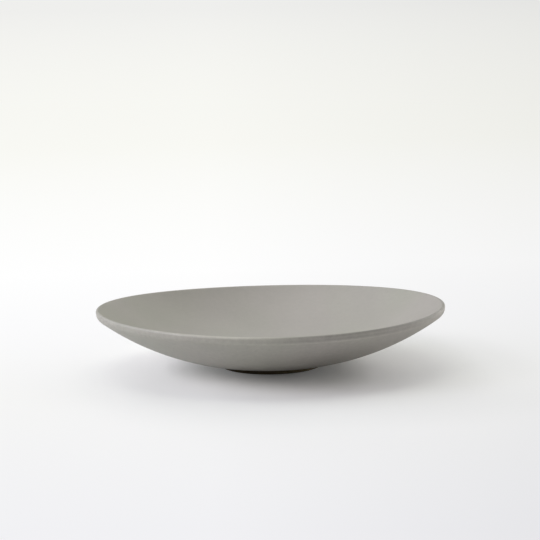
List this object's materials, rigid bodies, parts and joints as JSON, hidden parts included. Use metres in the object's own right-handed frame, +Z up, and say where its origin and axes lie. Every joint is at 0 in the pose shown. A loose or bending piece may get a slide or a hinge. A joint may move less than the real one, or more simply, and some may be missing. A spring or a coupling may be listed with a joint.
{
  "type": "shallow footed dish",
  "caption": "Wide, shallow, slightly oval stoneware dish with a rounded lip on an upright band, a smooth sweeping belly and a low dark foot ring.",
  "frame": {"origin": "on the table plane, under the middle of the dish", "axes": "+Z up; +X along the dish's long way, towards one of the two raised ends of the lip; +Y across it"},
  "size_m": [0.3, 0.29, 0.0529],
  "materials": {
    "stoneware": "matte",
    "dark_clay": "matte",
    "felt": "matte"
  },
  "bodies": {
    "root": {"dish_body": "stoneware", "foot_ring": "dark_clay", "base_pad": "felt"}
  },
  "joints": []
}
